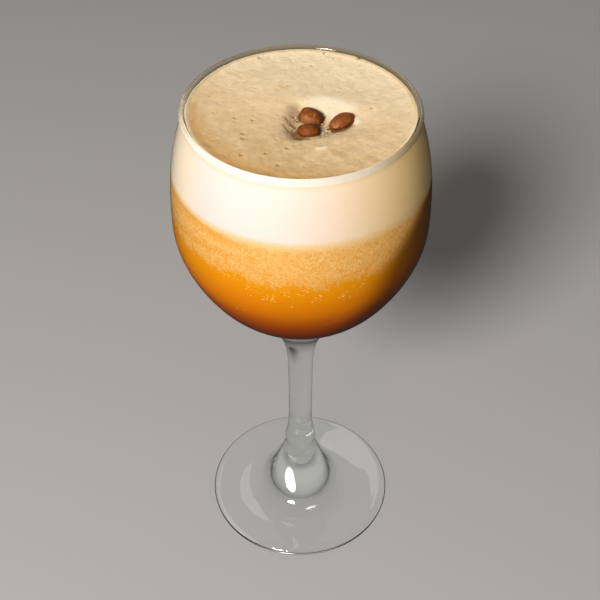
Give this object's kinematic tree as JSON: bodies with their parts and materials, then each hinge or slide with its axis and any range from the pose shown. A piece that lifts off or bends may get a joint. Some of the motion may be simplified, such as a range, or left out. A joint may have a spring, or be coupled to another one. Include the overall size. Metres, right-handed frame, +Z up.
{
  "type": "espresso martini",
  "caption": "Espresso martini with a clear amber drink, a band of fine bubbles, a thick cream foam head and roasted coffee beans, in a stemmed wine glass with a rolled rim.",
  "frame": {"origin": "centre of the foot's underside, which is the bottom centre of the part's box", "axes": "+Z up along the axis of the glass; -Y towards the viewer of the picture, +X to the viewer's right"},
  "size_m": [0.0832, 0.0832, 0.1837],
  "materials": {
    "clear_glass": "clear, polished",
    "amber_drink": "clear amber coffee drink, darker towards the bottom",
    "fine_bubbles": "amber drink full of fine bubbles",
    "cream_foam": "dense cream foam, satin and moist",
    "roasted_bean": "medium roast, slightly oily"
  },
  "bodies": {
    "root": {"wine_glass": "clear_glass", "espresso_drink": "amber_drink", "bubble_band": "fine_bubbles", "foam_head": "cream_foam", "coffee_bean_1": "roasted_bean", "coffee_bean_2": "roasted_bean", "coffee_bean_3": "roasted_bean"}
  },
  "joints": []
}
